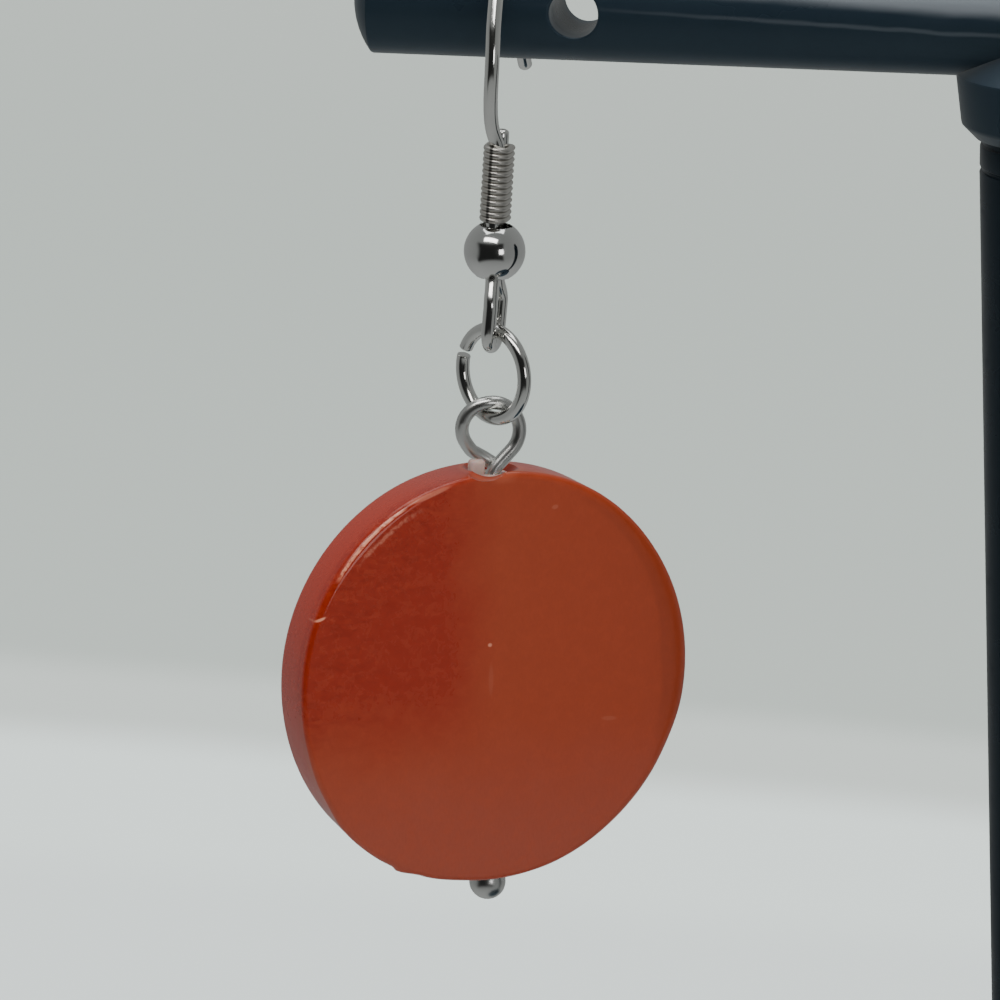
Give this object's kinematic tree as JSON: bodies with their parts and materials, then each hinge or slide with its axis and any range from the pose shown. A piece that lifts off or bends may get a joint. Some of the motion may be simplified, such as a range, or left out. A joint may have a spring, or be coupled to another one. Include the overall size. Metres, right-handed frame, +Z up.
{
  "type": "disc earring on a t-bar display stand",
  "caption": "Ear hook with coil, bead and jump ring, and a ball-headed pin glued into a drilled round disc, hung over the arm of a plain round T-bar stand.",
  "frame": {"origin": "middle of the base's underside", "axes": "+X along the bar away from the earring, -Y to the front where the drop hangs, +Z up the post"},
  "size_m": [0.0716, 0.05, 0.0894],
  "materials": {
    "stand_black": "glossy black moulded plastic",
    "silver_plate": "bright silver plate on wire",
    "coil_wire": "fine wire wound tight",
    "glue": "pale dried glue",
    "disc_red": "brick-red dyed shell under clear lacquer"
  },
  "bodies": {
    "stand_and_hook": {"stand_base": "stand_black", "stand_post": "stand_black", "stand_bar": "stand_black", "ear_hook": "silver_plate", "hook_coil": "coil_wire", "hook_bead": "silver_plate"},
    "ring": {"jump_ring": "silver_plate"},
    "drop": {"ball_pin": "silver_plate", "glue_dab": "glue", "disc": "disc_red"}
  },
  "joints": [
    {"name": "ring_swing", "type": "hinge", "parent": "stand_and_hook", "child": "ring", "pos_m": [-0.0274, -0.00275, 0.06955], "axis": [0.6157, 0.788, 0], "range_deg": [-30, 30]},
    {"name": "drop_swing", "type": "hinge", "parent": "ring", "child": "drop", "pos_m": [-0.0274, -0.00275, 0.06597], "axis": [0.788, -0.6157, 0], "range_deg": [-40, 40]}
  ]
}
